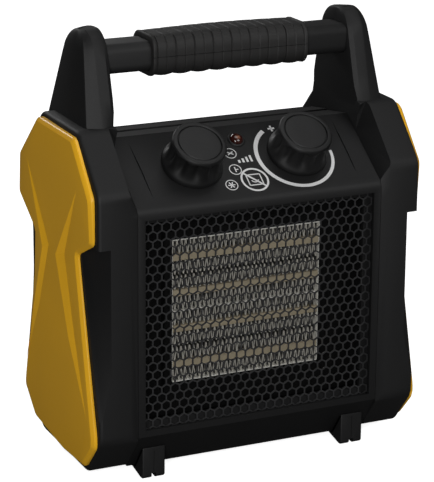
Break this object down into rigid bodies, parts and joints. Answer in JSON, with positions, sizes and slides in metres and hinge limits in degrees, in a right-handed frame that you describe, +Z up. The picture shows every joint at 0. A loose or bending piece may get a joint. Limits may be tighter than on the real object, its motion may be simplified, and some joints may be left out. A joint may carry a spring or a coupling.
{
  "type": "ceramic fan heater",
  "caption": "Portable ceramic fan heater with two side frames joined by a gripped handle bar, a hex-mesh outlet, a leaning panel with two fluted knobs, a lamp and a rear intake fan.",
  "frame": {"origin": "on the floor under the middle of the heater's bounding box", "axes": "+X to the right of someone facing the front, -Y towards that person, +Z up"},
  "size_m": [0.2506, 0.135, 0.297],
  "materials": {
    "black_plastic": "fine spark-eroded satin grain",
    "soft_black": "matt",
    "yellow_plastic": "satin, painted look",
    "dark_resin": "matt heat-resistant resin",
    "black_mesh": "satin black coated steel mesh",
    "aluminium_fins": "rolled",
    "ptc_ceramic": "fired, matt",
    "steel": "bright zinc",
    "brass": "turned",
    "lamp_red": "translucent dark red"
  },
  "bodies": {
    "heater_body": {"front_panel": "black_plastic", "rear_shell": "black_plastic", "side_frame_left": "black_plastic", "side_frame_right": "black_plastic", "tower_cover_left": "black_plastic", "tower_cover_right": "black_plastic", "handle_bar": "black_plastic", "grille_clamp": "black_plastic", "rear_guard": "black_plastic", "front_foot_left": "black_plastic", "front_foot_right": "black_plastic", "rear_foot_left": "black_plastic", "rear_foot_right": "black_plastic", "grip_upper": "soft_black", "grip_lower": "soft_black", "cord_inlet": "soft_black", "side_plate_left": "yellow_plastic", "side_plate_right": "yellow_plastic", "element_frame": "dark_resin", "air_baffle": "dark_resin", "fan_shroud": "dark_resin", "mode_switch_body": "dark_resin", "thermostat_body": "dark_resin", "lamp_holder": "dark_resin", "front_grille": "black_mesh", "fin_pack_1": "aluminium_fins", "fin_pack_2": "aluminium_fins", "fin_pack_3": "aluminium_fins", "fin_pack_4": "aluminium_fins", "fin_pack_5": "aluminium_fins", "fin_pack_6": "aluminium_fins", "fin_pack_7": "aluminium_fins", "fin_pack_8": "aluminium_fins", "ptc_rod_1": "ptc_ceramic", "ptc_rod_2": "ptc_ceramic", "ptc_rod_3": "ptc_ceramic", "ptc_rod_4": "ptc_ceramic", "terminal_block": "ptc_ceramic", "thermal_cutout": "steel", "fan_motor": "steel", "motor_screw_1": "steel", "motor_screw_2": "steel", "housing_screw_1": "steel", "housing_screw_2": "steel", "housing_screw_3": "steel", "housing_screw_4": "steel", "lamp_lens": "lamp_red"},
    "fan_rotor": {"fan_impeller": "dark_resin", "motor_shaft": "steel"},
    "mode_knob": {"mode_switch_knob": "black_plastic", "mode_switch_knob_cap": "soft_black", "mode_switch_spindle": "brass"},
    "thermostat_dial": {"thermostat_knob": "black_plastic", "thermostat_knob_cap": "soft_black", "thermostat_spindle": "brass"}
  },
  "joints": [
    {"name": "fan_spin", "type": "hinge", "parent": "heater_body", "child": "fan_rotor", "pos_m": [0, 0.0015, 0.1098], "axis": [0, 1, 0], "continuous": true},
    {"name": "mode_turn", "type": "hinge", "parent": "heater_body", "child": "mode_knob", "pos_m": [-0.039, -0.03822, 0.20852], "axis": [0, -0.5878, 0.809], "range_deg": [-90, 0]},
    {"name": "thermostat_turn", "type": "hinge", "parent": "heater_body", "child": "thermostat_dial", "pos_m": [0.039, -0.03822, 0.20852], "axis": [0, -0.5878, 0.809], "range_deg": [-236, 0]}
  ]
}
